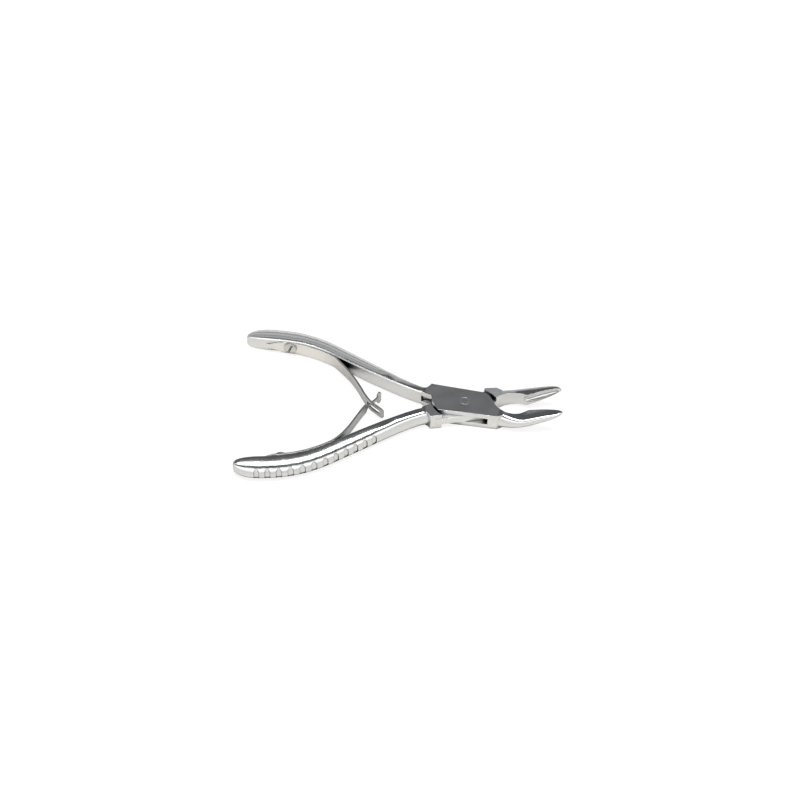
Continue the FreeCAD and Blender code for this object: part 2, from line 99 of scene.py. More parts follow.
# Upward parts of a normal from which a face counts as level and as nearly level
LEVEL = 0.9999
NEARLY_LEVEL = 0.99

# The far jaw's block: how far its top reaches past the jaw's start, and its inner side
BLOCK_PAST_START = 0.0045
BLOCK_INNER_SIDE = 0.003

# The grinding lines: how much finer they are across the length, how many they are and how deep
LINES_STRETCH = 9.0
LINES_SCALE = 2600.0
LINES_STRENGTH = 0.05
LINES_DEPTH = 0.00001

# The soft patches in the steel's colour and roughness
PATCHES_SCALE = 140.0
PATCHES_RANGE = (0.3, 0.7)
PATCHES_COLOUR = (0.96, 1.03)
PATCHES_ROUGHNESS = (-0.015, 0.02)

# Painted shade in gaps, in grooves and along rims: the measured value where the steel is painted darkest,
# the one from which it isn't darkened, and how much of its brightness the darkest place keeps
GAP_PAINTED_SHADE = (0.24, 0.64, 0.03)
GROOVE_PAINTED_SHADE = (0.55, 0.92, 0.3)
RIM_PAINTED_SHADE = (0.84, 0.985, 0.3)

# The leaves lose the feet's pale colour between these places along the length
LEAF_COLOUR_FROM = -0.066
LEAF_COLOUR_TO = -0.05

# The box's flat top is satin: from which upward part of the normal it counts as flat, the middle and
# the half length of that stretch, and how much rougher it is
SATIN_FLAT = 0.995
SATIN_MIDDLE = 0.001
SATIN_HALF_LENGTH = 0.018
SATIN_EXTRA = 0.08

# The studio that the steel mirrors: 0 is the horizon behind the object, 0.5 is overhead and 1 is the
# horizon behind the camera, each with its brightness; the dark stops are slightly blue
STUDIO = [(0.0, 0.62), (0.03, 0.6), (0.05, 0.25), (0.075, 0.25), (0.095, 0.65), (0.13, 0.65), (0.145, 0.25),
          (0.163, 0.25), (0.183, 0.6), (0.205, 0.55), (0.225, 0.08), (0.43, 0.08), (0.442, 1.1), (0.57, 1.1),
          (0.585, 0.04), (0.685, 0.04), (0.705, 1.4), (0.86, 1.3), (0.92, 0.8), (1.0, 0.78)]
DARK_UNDER = 0.3
DARK_BLUE = 1.12

# The paper as the steel mirrors it, as the camera sees it in light and shadow, and how brightly it
# glows for the camera, with the glow's share in what the camera sees
PAPER_MIRRORED = (0.74, 0.725, 0.69, 1)
PAPER_LIT = (0.95, 0.95, 0.95, 1)
PAPER_GLOW = 1.1
PAPER_GLOW_SHARE = 0.75

FLOOR_SIZE = 4.0
FLOOR_GAP = 0.00005
LAMP_SIZE = (1.2, 0.4)
LAMP_PLACE = (0.0, 0.03, 1.2)


class RongeurSpringSettings(bpy.types.PropertyGroup):
    thickness: bpy.props.FloatProperty(name="Thickness", description="Thickness of both spring strips",
                                       default=0.0008, min=0.0002, subtype="DISTANCE", unit="LENGTH")
    middle_height: bpy.props.FloatProperty(name="Middle height",
                                           description="Height of the strips' middle line", default=0.0039,
                                           subtype="DISTANCE", unit="LENGTH")
    foot_width: bpy.props.FloatProperty(name="Foot width", description="Width of the screwed foot",
                                        default=0.0065, subtype="DISTANCE", unit="LENGTH")
    tail_width: bpy.props.FloatProperty(name="Tail width", description="Width of the foot's pointed tail",
                                        default=0.0014, subtype="DISTANCE", unit="LENGTH")
    tail_point: bpy.props.FloatProperty(name="Tail point", description="Length of the tail's narrow end",
                                        default=0.001, subtype="DISTANCE", unit="LENGTH")
    tail_length: bpy.props.FloatProperty(name="Tail length", description="Length over which the tail widens",
                                         default=0.0078, subtype="DISTANCE", unit="LENGTH")
    taper_length: bpy.props.FloatProperty(name="Taper length", description="Length over which a leaf narrows",
                                          default=0.012, subtype="DISTANCE", unit="LENGTH")
    slotted_width: bpy.props.FloatProperty(name="Slotted leaf width", description="Width of the slotted leaf",
                                           default=0.0052, subtype="DISTANCE", unit="LENGTH")
    window_width: bpy.props.FloatProperty(name="Window width",
                                          description="Height of the slotted leaf's window", default=0.0021,
                                          subtype="DISTANCE", unit="LENGTH")
    window_before: bpy.props.FloatProperty(name="Window before",
                                           description="Window's reach before the crossing", default=0.0016,
                                           subtype="DISTANCE", unit="LENGTH")
    window_wall: bpy.props.FloatProperty(name="Window wall", description="Strip left at the window's far end",
                                         default=0.0017, subtype="DISTANCE", unit="LENGTH")
    tee_width: bpy.props.FloatProperty(name="T leaf width", description="Width of the T-ended leaf",
                                       default=0.005, subtype="DISTANCE", unit="LENGTH")
    neck_width: bpy.props.FloatProperty(name="Neck width", description="Width of the T's neck",
                                        default=0.0014, subtype="DISTANCE", unit="LENGTH")
    neck_before: bpy.props.FloatProperty(name="Neck before", description="Neck's reach before the crossing",
                                         default=0.0019, subtype="DISTANCE", unit="LENGTH")
    neck_shoulder: bpy.props.FloatProperty(name="Neck shoulder",
                                           description="Length of the slopes to the neck", default=0.0012,
                                           subtype="DISTANCE", unit="LENGTH")
    head_after: bpy.props.FloatProperty(name="Head after",
                                        description="Distance of the T's head past the crossing",
                                        default=0.0046, subtype="DISTANCE", unit="LENGTH")
    head_width: bpy.props.FloatProperty(name="Head width", description="Width of the T's head",
                                        default=0.0062, subtype="DISTANCE", unit="LENGTH")
    tip_corner: bpy.props.FloatProperty(name="Tip corner", description="Corner taken off the strips' ends",
                                        default=0.0007, subtype="DISTANCE", unit="LENGTH")
    bend_length: bpy.props.FloatProperty(name="Bend length", description="Length over which a leaf bends",
                                         default=0.009, subtype="DISTANCE", unit="LENGTH")
    step: bpy.props.FloatProperty(name="Step", description="Spacing of the strips' points along their length",
                                  default=0.0004, min=0.0001, subtype="DISTANCE", unit="LENGTH")


class RongeurScrewSettings(bpy.types.PropertyGroup):
    head_radius: bpy.props.FloatProperty(name="Head radius", description="Radius of the screw's head",
                                         default=0.00293, subtype="DISTANCE", unit="LENGTH")
    head_height: bpy.props.FloatProperty(name="Head height", description="Height of the head in its middle",
                                         default=0.0014, subtype="DISTANCE", unit="LENGTH")
    dome: bpy.props.FloatProperty(name="Dome",
                                  description="How far the head falls from its middle to its rim",
                                  default=0.0008, subtype="DISTANCE", unit="LENGTH")
    slot_width: bpy.props.FloatProperty(name="Slot width", description="Width of the driver slot",
                                        default=0.0007, subtype="DISTANCE", unit="LENGTH")
    slot_depth: bpy.props.FloatProperty(name="Slot depth", description="Depth of the driver slot",
                                        default=0.0007, subtype="DISTANCE", unit="LENGTH")
    slot_turn: bpy.props.FloatProperty(name="Slot turn", description="How far the slot is turned from level",
                                       default=math.radians(-68), subtype="ANGLE", unit="ROTATION")
    seat_gap: bpy.props.FloatProperty(name="Seat gap",
                                      description="Distance of the head's underside from its seat",
                                      default=0.00096, subtype="DISTANCE", unit="LENGTH")


class RongeurSteelSettings(bpy.types.PropertyGroup):
    arm_colour: bpy.props.FloatVectorProperty(name="Arm colour", description="Colour of the arms' steel",
                                              size=3, default=(0.76, 0.765, 0.765), min=0, max=1,
                                              subtype="COLOR")
    spring_colour: bpy.props.FloatVectorProperty(name="Spring colour",
                                                 description="Colour of the springs' feet", size=3,
                                                 default=(0.82, 0.805, 0.775), min=0, max=1, subtype="COLOR")
    leaf_colour: bpy.props.FloatVectorProperty(name="Leaf colour",
                                               description="Colour of the springs' leaves", size=3,
                                               default=(0.5, 0.5, 0.5), min=0, max=1, subtype="COLOR")
    screw_colour: bpy.props.FloatVectorProperty(name="Screw colour",
                                                description="Colour of the screws' steel", size=3,
                                                default=(0.62, 0.62, 0.6), min=0, max=1, subtype="COLOR")
    arm_roughness: bpy.props.FloatProperty(name="Arm roughness",
                                           description="Roughness of the arms and screws", default=0.17,
                                           min=0, max=1, subtype="FACTOR")
    spring_roughness: bpy.props.FloatProperty(name="Spring roughness", description="Roughness of the springs",
                                              default=0.3, min=0, max=1, subtype="FACTOR")
    edge_radius: bpy.props.FloatProperty(name="Edge radius", description="Radius that the edges look to have",
                                         default=0.00022, subtype="DISTANCE", unit="LENGTH")
    block_start: bpy.props.FloatProperty(name="Block start",
                                         description="Where the jaw's block starts along X", default=0.007,
                                         subtype="DISTANCE", unit="LENGTH")
    block_slant: bpy.props.FloatProperty(name="Block slant",
                                         description="Slant of the top of the far jaw's block",
                                         default=math.radians(9), subtype="ANGLE", unit="ROTATION")
    jaw_start: bpy.props.FloatProperty(name="Jaw start", description="Where the jaws start along X",
                                       default=0.0165, subtype="DISTANCE", unit="LENGTH")
    jaw_fade: bpy.props.FloatProperty(name="Jaw fade",
                                      description="Length over which the jaw's flat top comes in",
                                      default=0.009, subtype="DISTANCE", unit="LENGTH")
    jaw_flat: bpy.props.FloatProperty(name="Jaw flatness",
                                      description="Tilt up to which the jaw's top looks flat",
                                      default=math.radians(40), subtype="ANGLE", unit="ROTATION")
    # Width of the painted shade, a dark line painted along the cups' rims
    painted_rim_width: bpy.props.FloatProperty(name="Rim width",
                                       description="Width of the dark line along the cups' rims",
                                       default=0.0005, subtype="DISTANCE", unit="LENGTH")
    cup_start: bpy.props.FloatProperty(name="Cup start", description="Where the cups start along X",
                                       default=0.026, subtype="DISTANCE", unit="LENGTH")
    # Reach of the painted shade in the grooves
    painted_groove_reach: bpy.props.FloatProperty(name="Groove reach",
                                          description="How near the walls of a dark groove are",
                                          default=0.0007, subtype="DISTANCE", unit="LENGTH")
    # Reach of the painted shade in gaps between pieces
    painted_gap_reach: bpy.props.FloatProperty(name="Crevice reach",
                                           description="How near the faces of a dark gap are", default=0.004,
                                           subtype="DISTANCE", unit="LENGTH")
    smooth_angle: bpy.props.FloatProperty(name="Smooth angle",
                                          description="Edges sharper than this stay sharp",
                                          default=math.radians(27), subtype="ANGLE", unit="ROTATION")
    crown: bpy.props.FloatProperty(name="Crown", description="Tilt of the handle's top at its outer edge",
                                   default=math.radians(16), subtype="ANGLE", unit="ROTATION")
    crown_start: bpy.props.FloatProperty(name="Crown start", description="Where the crown starts along X",
                                         default=-0.018, subtype="DISTANCE", unit="LENGTH")
    crown_fade: bpy.props.FloatProperty(name="Crown fade", description="Length over which the crown comes in",
                                        default=0.012, subtype="DISTANCE", unit="LENGTH")


class RongeurStageSettings(bpy.types.PropertyGroup):
    aim: bpy.props.FloatVectorProperty(name="Aim", description="Point that the camera looks at", size=3,
                                       default=(-0.02818, -0.00106, 0.0085), subtype="TRANSLATION",
                                       unit="LENGTH")
    distance: bpy.props.FloatProperty(name="Distance", description="Distance of the camera from its aim",
                                      default=0.8, subtype="DISTANCE", unit="LENGTH")
    elevation: bpy.props.FloatProperty(name="Elevation", description="Height angle of the camera",
                                       default=math.radians(47), subtype="ANGLE", unit="ROTATION")
    azimuth: bpy.props.FloatProperty(name="Azimuth", description="Turn of the camera round the object",
                                     default=0.0, subtype="ANGLE", unit="ROTATION")
    roll: bpy.props.FloatProperty(name="Roll", description="Roll of the camera about its line of sight",
                                  default=math.radians(1.837), subtype="ANGLE", unit="ROTATION")
    lens: bpy.props.FloatProperty(name="Lens", description="Focal length on a 36 millimetre sensor",
                                  default=82.517, min=10, subtype="DISTANCE_CAMERA")
    surround: bpy.props.FloatProperty(name="Surround",
                                      description="Strength of the studio that the steel mirrors",
                                      default=1.0, min=0)
    key: bpy.props.FloatProperty(name="Key light", description="Power of the large light overhead, in watts",
                                 default=10.0, min=0)


def in_metres(x, y):
    """A point in plan, given in millimetres."""
    return Vector((x * MM, y * MM, 0))


def curve_points(corners, step):
    """Evenly spaced points on a smooth line through the corners, in metres."""
    points = [in_metres(x, y) for x, y in corners]
    points = [points[0] * 2 - points[1]] + points + [points[-1] * 2 - points[-2]]
    fine = []
    for a, b, c, d in zip(points, points[1:], points[2:], points[3:]):
        for number in range(POINTS_PER_CORNER):
            t = number / POINTS_PER_CORNER
            fine.append(0.5 * ((2 * b) + (c - a) * t + (2 * a - 5 * b + 4 * c - d) * t * t
                               + (3 * b - a - 3 * c + d) * t * t * t))
    fine.append(points[-2])
    line, left = [fine[0]], step
    for a, b in zip(fine, fine[1:]):
        length = (b - a).length
        while left <= length:
            line.append(a + (b - a) * (left / length))
            left += step
        left -= length
    return line


def line_length(line):
    return sum((b - a).length for a, b in zip(line, line[1:]))


def along_line(line, point):
    """Length along the line at the place nearest to a point."""
    nearest = min(range(len(line)), key=lambda number: (line[number] - point).length)
    return line_length(line[:nearest + 1])


def value_at(stations, s):
    """The value at a length, between stations given as length and value."""
    for (s_0, value_0), (s_1, value_1) in zip(stations, stations[1:]):
        if s <= s_1:
            share = (s - s_0) / max(s_1 - s_0, 1e-9)
            return value_0 + (value_1 - value_0) * min(max(share, 0.0), 1.0)
    return stations[-1][1]


def slotted_blank(settings, root, crossing, length):
    """Half widths of the slotted leaf and of its window, as stations along the strip."""
    half, corner = settings.slotted_width / 2, settings.tip_corner
    outline = [(root + settings.taper_length, half), (length - corner, half), (length, half - corner)]
    radius = settings.window_width / 2
    start, finish = crossing - settings.window_before, length - settings.window_wall
    window = [(0, 0), (start, 0), (start + SUDDEN, radius), (finish - radius, radius)]
    window += [(finish - radius * (1 - math.sin(turn)), radius * math.cos(turn)) for turn in WINDOW_TURNS]
    return outline, window + [(finish, 0), (length, 0)]


def tee_blank(settings, root, crossing, length):
    """Half widths of the T-ended leaf, as stations along the strip, and no window."""
    half, neck, head = settings.tee_width / 2, settings.neck_width / 2, settings.head_width / 2
    corner = settings.tip_corner
    neck_at, head_at = crossing - settings.neck_before, crossing + settings.head_after
    outline = [(root + settings.taper_length, half), (neck_at - settings.neck_shoulder, half),
               (neck_at, neck), (head_at, neck), (head_at + SUDDEN, head - corner), (head_at + corner, head),
               (length - corner, head), (length, head - corner)]
    return outline, [(0, 0), (length, 0)]


def strip_places(stations, length, step):
    """Lengths at which the strip has points: evenly spaced ones and the stations, with no near doubles."""
    places = {number * step for number in range(int(length / step) + 1)}
    places |= {s for s, value in stations if 0 <= s <= length} | {length}
    ordered = sorted(places)
    return [ordered[0]] + [b for a, b in zip(ordered, ordered[1:]) if b - a > SAME_CORNER]


def flat_strip(name, places, outline, window, thickness):
    """The flat blank of a spring: X is the length along it, Y its thickness and Z its width."""
    mesh = bpy.data.meshes.new(name)
    form = bmesh.new()
    columns = []
    for s in places:
        outer, inner = value_at(outline, s), value_at(window, s)
        levels = (-outer, -inner, inner, outer)
        columns.append([[form.verts.new((s, side * thickness / 2, z)) for z in levels] for side in (-1, 1)])
    for first, second in zip(columns, columns[1:]):
        for low, high in ((0, 1), (2, 3)):
            form.faces.new((first[0][low], second[0][low], second[0][high], first[0][high]))
            form.faces.new((first[1][high], second[1][high], second[1][low], first[1][low]))
        for level, turned in ((0, False), (1, True), (2, False), (3, True)):
            ring = [first[0][level], first[1][level], second[1][level], second[0][level]]
            form.faces.new(ring[::-1] if turned else ring)
    for column, turned in ((columns[0], False), (columns[-1], True)):
        for low, high in ((0, 1), (2, 3)):
            ring = [column[0][low], column[0][high], column[1][high], column[1][low]]
            form.faces.new(ring[::-1] if turned else ring)
    closed = [face for face in form.faces if face.calc_area() < NO_AREA]
    bmesh.ops.delete(form, geom=closed, context="FACES_ONLY")
    bmesh.ops.remove_doubles(form, verts=form.verts, dist=SAME_POINT)
    inner_walls = [face for face in form.faces
                   if all(abs(vertex.co.z) < SAME_POINT for vertex in face.verts)]
    bmesh.ops.delete(form, geom=inner_walls, context="FACES")
    bmesh.ops.recalc_face_normals(form, faces=form.faces)
    form.to_mesh(mesh)
    form.free()
    return mesh


def node(tree, kind, inputs=None, **settings):
    """A new node; each of its inputs gets a plain value or the output that feeds it."""
    made = tree.nodes.new(kind)
    for key, value in settings.items():
        setattr(made, key, value)
    for socket, value in (inputs or {}).items():
        if isinstance(value, bpy.types.NodeSocket):
            tree.links.new(value, made.inputs[socket])
        else:
            made.inputs[socket].default_value = value
    return made


def calculated(tree, operation, *values):
    """The result of a Math node on plain values or outputs."""
    return node(tree, "ShaderNodeMath", dict(enumerate(values)), operation=operation).outputs[0]


def vector_sum(tree, first, second):
    return node(tree, "ShaderNodeVectorMath", {0: first, 1: second}, operation="ADD").outputs[0]


def upright(tree, height):
    """A vector that points up by a height."""
    return node(tree, "ShaderNodeCombineXYZ", {"Z": height}).outputs[0]


def new_group(name, inputs):
    """A geometry node group with the named inputs, and its input node's outputs."""
    tree = bpy.data.node_groups.new(name, "GeometryNodeTree")
    tree.interface.new_socket("Geometry", in_out="INPUT", socket_type="NodeSocketGeometry")
    for label, kind in inputs:
        tree.interface.new_socket(label, in_out="INPUT", socket_type="NodeSocket" + kind)
    tree.interface.new_socket("Geometry", in_out="OUTPUT", socket_type="NodeSocketGeometry")
    return tree, node(tree, "NodeGroupInput").outputs


def end_group(tree, geometry, material):
    """Ends a group with real faces of one material."""
    real = node(tree, "GeometryNodeRealizeInstances", {"Geometry": geometry})
    painted = node(tree, "GeometryNodeSetMaterial", {"Geometry": real.outputs[0], "Material": material})
    node(tree, "NodeGroupOutput", {"Geometry": painted.outputs[0]})


def bent_strip_group():
    """Bends a flat strip along a line: X becomes the way along it, Y the way across it."""
    tree, given = new_group("Bent strip", [("Line", "Object"), ("Height", "Float"), ("Steel", "Material")])
    position = node(tree, "GeometryNodeInputPosition").outputs["Position"]
    flat = node(tree, "ShaderNodeSeparateXYZ", {0: position}).outputs
    line = node(tree, "GeometryNodeObjectInfo", {"Object": given["Line"]}, transform_space="ORIGINAL")
    sample = node(tree, "GeometryNodeSampleCurve", {"Curves": line.outputs["Geometry"], "Length": flat["X"]},
                  mode="LENGTH").outputs
    across = node(tree, "ShaderNodeVectorMath", {0: (0, 0, 1), 1: sample["Tangent"]},
                  operation="CROSS_PRODUCT").outputs[0]
    offset = node(tree, "ShaderNodeVectorMath", {0: across, "Scale": flat["Y"]}, operation="SCALE").outputs[0]
    in_plan = vector_sum(tree, sample["Position"], offset)
    height = calculated(tree, "ADD", flat["Z"], given["Height"])
    place = vector_sum(tree, in_plan, upright(tree, height))
    bent = node(tree, "GeometryNodeSetPosition", {"Geometry": given["Geometry"], "Position": place})
    end_group(tree, bent.outputs[0], given["Steel"])
    return tree


def placed(tree, geometry, translation, turn=None):
    """Geometry moved, and turned first where a turn is given."""
    inputs = {"Geometry": geometry, "Translation": translation}
    if turn is not None:
        inputs["Rotation"] = node(tree, "FunctionNodeEulerToRotation", {0: turn}).outputs[0]
    return node(tree, "GeometryNodeTransform", inputs).outputs[0]


def slotted_screw_group():
    """A round head that falls from its middle to its rim, with a driver slot cut across it."""
    tree, given = new_group("Slotted screw", [("Radius", "Float"), ("Height", "Float"), ("Dome", "Float"),
                                              ("Slot width", "Float"), ("Slot depth", "Float"),
                                              ("Slot turn", "Float"), ("Seat", "Vector"), ("Turn", "Vector"),
                                              ("Steel", "Material")])
    disc = node(tree, "GeometryNodeMeshCylinder", {"Vertices": 96, "Fill Segments": 12,
                                                   "Radius": given["Radius"], "Depth": given["Height"]})
    position = node(tree, "GeometryNodeInputPosition").outputs["Position"]
    place = node(tree, "ShaderNodeSeparateXYZ", {0: position}).outputs
    level = node(tree, "ShaderNodeCombineXYZ", {"X": place["X"], "Y": place["Y"]}).outputs[0]
    from_middle = node(tree, "ShaderNodeVectorMath", {0: level}, operation="LENGTH").outputs["Value"]
    share = calculated(tree, "POWER", calculated(tree, "DIVIDE", from_middle, given["Radius"]), DOME_POWER)
    fall = calculated(tree, "MULTIPLY", calculated(tree, "MULTIPLY", share, given["Dome"]), -1.0)
    is_top = node(tree, "FunctionNodeCompare", {0: place["Z"]}, data_type="FLOAT", operation="GREATER_THAN")
    domed = node(tree, "GeometryNodeSetPosition", {"Geometry": disc.outputs["Mesh"],
                                                   "Selection": is_top.outputs[0],
                                                   "Offset": upright(tree, fall)}).outputs[0]
    head = placed(tree, domed, upright(tree, calculated(tree, "MULTIPLY", given["Height"], 0.5)))
    size = node(tree, "ShaderNodeCombineXYZ", {"X": calculated(tree, "MULTIPLY", given["Radius"], 3.0),
                                               "Y": given["Slot width"],
                                               "Z": calculated(tree, "MULTIPLY", given["Slot depth"], 2.0)})
    block = node(tree, "GeometryNodeMeshCube", {"Size": size.outputs[0]}).outputs["Mesh"]
    slot = placed(tree, block, upright(tree, given["Height"]), upright(tree, given["Slot turn"]))
    cut = node(tree, "GeometryNodeMeshBoolean", {"Mesh 1": head, "Mesh 2": slot}, operation="DIFFERENCE")
    end_group(tree, placed(tree, cut.outputs["Mesh"], given["Seat"], given["Turn"]), given["Steel"])
    return tree


def run_group(piece, group, values):
    """Runs a node group on a piece with its named inputs and keeps the mesh that comes out."""
    modifier = piece.modifiers.new(group.name, "NODES")
    modifier.node_group = group
    for item in group.interface.items_tree:
        if item.item_type == "SOCKET" and item.in_out == "INPUT" and item.name in values:
            modifier[item.identifier] = values[item.name]
    piece.update_tag()
    bpy.context.view_layer.update()
    evaluated = piece.evaluated_get(bpy.context.evaluated_depsgraph_get())
    mesh = bpy.data.meshes.new_from_object(evaluated)
    if not mesh.polygons:
        raise RuntimeError("the node group " + group.name + " made no faces for " + piece.name)
    mesh.shade_smooth()
    mesh.set_sharp_from_angle(angle=SHARP_ANGLE)
    piece.modifiers.clear()
    piece.data = mesh


def handle_edges(form):
    """How far the handle reaches from the middle plane, inside and outside, in steps along X."""
    edges = {}
    for vertex in form.verts:
        key, out = round(vertex.co.x / SECTION_STEP), abs(vertex.co.y)
        low, high = edges.get(key, (out, out))
        edges[key] = (min(low, out), max(high, out))
    return edges


def section_at(edges, x):
    """Inside and outside reach of the handle at X, between the steps that have points."""
    key = x / SECTION_STEP
    below = max((k for k in edges if k <= key), default=min(edges))
    above = min((k for k in edges if k >= key), default=max(edges))
    share = 0 if above == below else (key - below) / (above - below)
    return [first + (second - first) * share for first, second in zip(edges[below], edges[above])]


def crowned(normal, place, edges, settings):
    """A handle's top looks slightly crowned, and its round back starts with that tilt."""
    if place.x > settings.crown_start or normal.z <= 0:
        return normal
    outward = Vector((OUTWARD_LEAN, math.copysign(1.0, place.y), 0)).normalized()
    if normal.dot(outward) < FACES_INWARD:
        return normal
    inside, outside = section_at(edges, place.x)
    share = (abs(place.y) - inside) / max(outside - inside, 1e-6)
    across = min(max((share - CROWN_FROM) / CROWN_OVER, 0.0), 1.0)
    round_back = math.acos(min(normal.z, 1.0)) / (math.pi / 2)
    fade = min((settings.crown_start - place.x) / settings.crown_fade, 1.0)
    extra = settings.crown * across * fade * (1 - round_back)
    return (normal + outward * math.tan(extra) * normal.z).normalized()


def flat_topped(normal, place, settings):
    """The near jaw's top looks flat until close to its outer edge."""
    if place.x < settings.jaw_start or place.y > 0 or not 0 < normal.z < LEVEL or normal.y > 0:
        return normal
    tilt = math.acos(normal.z)
    flat = settings.jaw_flat * min((place.x - settings.jaw_start) / settings.jaw_fade, 1.0)
    kept = max(tilt - flat, 0.0) * (math.pi / 2) / (math.pi / 2 - flat)
    level = Vector((normal.x, normal.y, 0)).normalized()
    return level * math.sin(kept) + Vector((0, 0, math.cos(kept)))


def block_slanted(normal, place, settings):
    """The top of the far jaw's block looks ground at a slant, which makes it lighter than the box."""
    in_block = settings.block_start < place.x < settings.jaw_start + BLOCK_PAST_START
    if not in_block or place.y < BLOCK_INNER_SIDE or normal.z < NEARLY_LEVEL:
        return normal
    return Vector((normal.x, normal.y + math.tan(settings.block_slant), normal.z)).normalized()


def shaded(mesh, settings, is_through):
    """Smooth corners where faces meet gently, with large flat faces kept flat."""
    mesh.shade_smooth()
    form = bmesh.new()
    form.from_mesh(mesh)
    edges = handle_edges(form)
    limit = math.cos(settings.smooth_angle)
    area = {face: face.calc_area() for face in form.faces}
    normals = []
    for face in form.faces:
        for vertex in face.verts:
            total = Vector((0, 0, 0))
            for other in vertex.link_faces:
                if other.normal.dot(face.normal) > limit:
                    total += other.normal * area[other]
            normal = total.normalized() if total.length > 0 else face.normal.copy()
            normal = flat_topped(normal, vertex.co, settings)
            if is_through:
                normal = block_slanted(normal, vertex.co, settings)
            normals.append(crowned(normal, vertex.co, edges, settings))
    form.free()
    mesh.normals_split_custom_set(normals)


def mapped(tree, value, low, high, to_low=0.0, to_high=1.0, **settings):
    """A value carried over from one range to another."""
    ranges = {"Value": value, "From Min": low, "From Max": high, "To Min": to_low, "To Max": to_high}
    return node(tree, "ShaderNodeMapRange", ranges, **settings).outputs["Result"]


def noise(tree, place, scale, detail):
    inputs = {"Vector": place, "Scale": scale, "Detail": detail}
    return node(tree, "ShaderNodeTexNoise", inputs).outputs["Fac"]


def mixed_colour(tree, factor, first, second):
    """A Mix node between two colours; its colour inputs are numbers 6 and 7, its colour output number 2."""
    return node(tree, "ShaderNodeMix", {0: factor, 6: first, 7: second}, data_type="RGBA").outputs[2]


def steel_colour(tree, along, patches, colour, far_colour):
    """The steel's colour with soft patches, changing to the far colour towards the leaves' tips."""
    darker = (*[value * PATCHES_COLOUR[0] for value in colour], 1)
    lighter = (*[min(value * PATCHES_COLOUR[1], 1.0) for value in colour], 1)
    tinted = mixed_colour(tree, patches, darker, lighter)
    if far_colour is None:
        return tinted
    far = mapped(tree, along, LEAF_COLOUR_FROM, LEAF_COLOUR_TO, interpolation_type="SMOOTHSTEP")
    return mixed_colour(tree, far, tinted, (*far_colour, 1))


def steel_painted_shade(tree, along, facing, settings, painted_rims_from):
    """Painted shade: how dark the steel is painted in gaps between pieces, in grooves and along rims; 1 is not
    at all.
    """
    # Painted shade in gaps between pieces, from ambient occlusion
    gap = node(tree, "ShaderNodeAmbientOcclusion", {"Distance": settings.painted_gap_reach}, samples=8)
    gap_shade = mapped(tree, gap.outputs["AO"], *GAP_PAINTED_SHADE)
    # Painted shade in the grooves, from ambient occlusion over a short reach
    groove = node(tree, "ShaderNodeAmbientOcclusion", {"Distance": settings.painted_groove_reach}, samples=6,
                  only_local=True)
    groove_shade = mapped(tree, groove.outputs["AO"], *GROOVE_PAINTED_SHADE)
    # A painted dark line, painted shade, along the rims where the edge's normal turns away
    rim = node(tree, "ShaderNodeBevel", {"Radius": settings.painted_rim_width}, samples=6)
    likeness = node(tree, "ShaderNodeVectorMath", {0: rim.outputs["Normal"], 1: facing},
                    operation="DOT_PRODUCT").outputs["Value"]
    rim_shade = mapped(tree, likeness, *RIM_PAINTED_SHADE)
    rim_shade = calculated(tree, "MAXIMUM", rim_shade, calculated(tree, "LESS_THAN", along, painted_rims_from))
    return calculated(tree, "MULTIPLY", calculated(tree, "MULTIPLY", gap_shade, groove_shade), rim_shade)


def steel_roughness(tree, along, facing, patches, roughness):
    """Roughness with soft patches, and more of it on the box's satin top."""
    up = node(tree, "ShaderNodeSeparateXYZ", {0: facing}).outputs["Z"]
    is_flat = calculated(tree, "GREATER_THAN", up, SATIN_FLAT)
    is_middle = calculated(tree, "COMPARE", along, SATIN_MIDDLE, SATIN_HALF_LENGTH)
    satin = calculated(tree, "MULTIPLY", is_flat, is_middle)
    low, high = (roughness + change for change in PATCHES_ROUGHNESS)
    patchy = mapped(tree, patches, *PATCHES_RANGE, low, high)
    return calculated(tree, "MULTIPLY_ADD", satin, SATIN_EXTRA, patchy)


def steel_surface(tree, place, settings):
    """The normal of rounded edges with fine grinding lines."""
    stretch = (1.0, LINES_STRETCH, 1.0)
    stretched = node(tree, "ShaderNodeMapping", {"Vector": place, "Scale": stretch}).outputs[0]
    edge = node(tree, "ShaderNodeBevel", {"Radius": settings.edge_radius}, samples=6).outputs["Normal"]
    lines = noise(tree, stretched, LINES_SCALE, 3.0)
    return node(tree, "ShaderNodeBump", {"Strength": LINES_STRENGTH, "Distance": LINES_DEPTH,
                                         "Height": lines, "Normal": edge}).outputs["Normal"]


def steel(name, colour, roughness, settings, painted_rims_from, far_colour=None):
    """Ground steel, with painted shade in gaps and grooves and painted dark lines along the rims that lie past
    a place along the length.
    """
    material = bpy.data.materials.new(name)
    material.use_nodes = True
    tree = material.node_tree
    place = node(tree, "ShaderNodeTexCoord").outputs["Object"]
    along = node(tree, "ShaderNodeSeparateXYZ", {0: place}).outputs["X"]
    facing = node(tree, "ShaderNodeNewGeometry").outputs["Normal"]
    patches = noise(tree, place, PATCHES_SCALE, 4.0)
    # The steel's colour darkened by painted shade in gaps, in grooves and along rims
    painted = node(tree, "ShaderNodeVectorMath", {
        0: steel_colour(tree, along, patches, colour, far_colour),
        "Scale": steel_painted_shade(tree, along, facing, settings, painted_rims_from)}, operation="SCALE").outputs[0]
    shader = tree.nodes["Principled BSDF"]
    shader.inputs["Metallic"].default_value = 1.0
    tree.links.new(painted, shader.inputs["Base Color"])
    tree.links.new(steel_roughness(tree, along, facing, patches, roughness), shader.inputs["Roughness"])
    tree.links.new(steel_surface(tree, place, settings), shader.inputs["Normal"])
    return material


